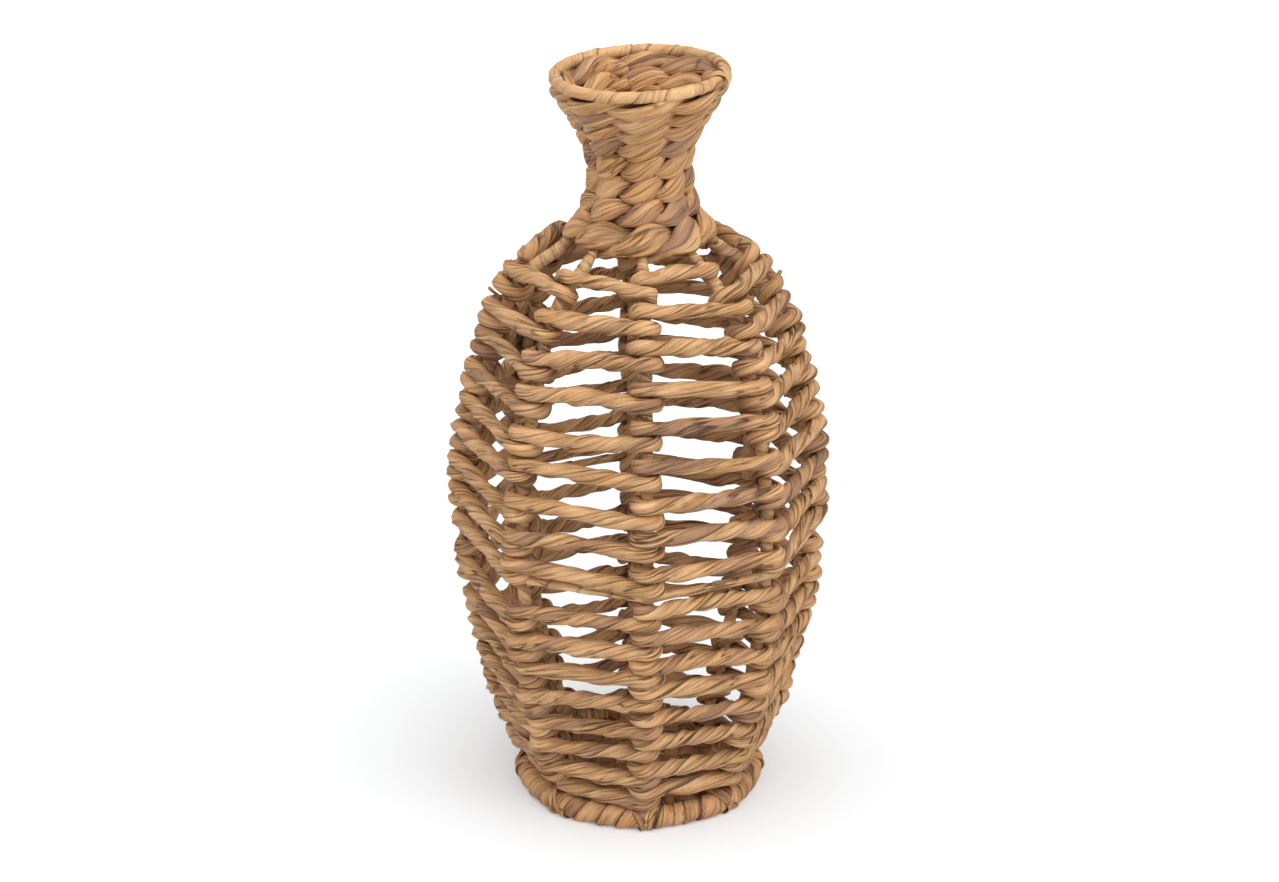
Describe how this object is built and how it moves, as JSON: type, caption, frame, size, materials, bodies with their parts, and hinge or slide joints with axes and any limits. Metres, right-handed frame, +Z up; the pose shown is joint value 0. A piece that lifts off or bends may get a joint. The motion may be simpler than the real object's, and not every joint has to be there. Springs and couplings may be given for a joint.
{
  "type": "vase",
  "caption": "Tall woven vase of twisted leaf cord on a round wire frame, with a wide belly, a narrow twined neck and a flared mouth.",
  "frame": {"origin": "centre of the foot, on the plane that the vase stands on", "axes": "+Z up through the middle of the mouth; -Y is the side that the picture shows"},
  "size_m": [0.2396, 0.2396, 0.48],
  "materials": {
    "twisted_leaf_cord": "dry twisted leaf, matt",
    "twined_leaf_strand": "dry flat leaf strand, matt",
    "leaf_strip_binding": "dry leaf strip wound tight, matt",
    "frame_wire": "dark brown lacquered steel wire"
  },
  "bodies": {
    "root": {"base_hoop_binding": "leaf_strip_binding", "base_hoop_wire": "frame_wire", "base_hub_ring": "frame_wire", "base_mat": "leaf_strip_binding", "body_cord_a_1": "twisted_leaf_cord", "body_cord_a_2": "twisted_leaf_cord", "body_cord_a_3": "twisted_leaf_cord", "body_cord_a_4": "twisted_leaf_cord", "body_cord_a_5": "twisted_leaf_cord", "body_cord_a_6": "twisted_leaf_cord", "body_cord_b_1": "twisted_leaf_cord", "body_cord_b_2": "twisted_leaf_cord", "body_cord_b_3": "twisted_leaf_cord", "body_cord_b_4": "twisted_leaf_cord", "body_cord_b_5": "twisted_leaf_cord", "body_cord_b_6": "twisted_leaf_cord", "body_cord_b_7": "twisted_leaf_cord", "body_cord_c_1": "twisted_leaf_cord", "body_cord_c_2": "twisted_leaf_cord", "body_cord_c_3": "twisted_leaf_cord", "body_cord_c_4": "twisted_leaf_cord", "body_cord_c_5": "twisted_leaf_cord", "body_cord_c_6": "twisted_leaf_cord", "mid_hoop_binding": "leaf_strip_binding", "mid_hoop_welds": "frame_wire", "mid_hoop_wire": "frame_wire", "neck_collar": "twined_leaf_strand", "neck_row_1": "twined_leaf_strand", "neck_row_2": "twined_leaf_strand", "neck_row_3": "twined_leaf_strand", "neck_row_4": "twined_leaf_strand", "neck_row_5": "twined_leaf_strand", "neck_row_6": "twined_leaf_strand", "neck_row_7": "twined_leaf_strand", "rib_binding_1": "leaf_strip_binding", "rib_binding_2": "leaf_strip_binding", "rib_binding_3": "leaf_strip_binding", "rib_binding_4": "leaf_strip_binding", "rib_binding_5": "leaf_strip_binding", "rib_binding_6": "leaf_strip_binding", "rib_binding_7": "leaf_strip_binding", "rib_binding_8": "leaf_strip_binding", "rib_wire_1": "frame_wire", "rib_wire_2": "frame_wire", "rib_wire_3": "frame_wire", "rib_wire_4": "frame_wire", "rib_wire_5": "frame_wire", "rib_wire_6": "frame_wire", "rib_wire_7": "frame_wire", "rib_wire_8": "frame_wire", "rim_hoop_binding": "leaf_strip_binding", "rim_hoop_wire": "frame_wire"}
  },
  "joints": []
}
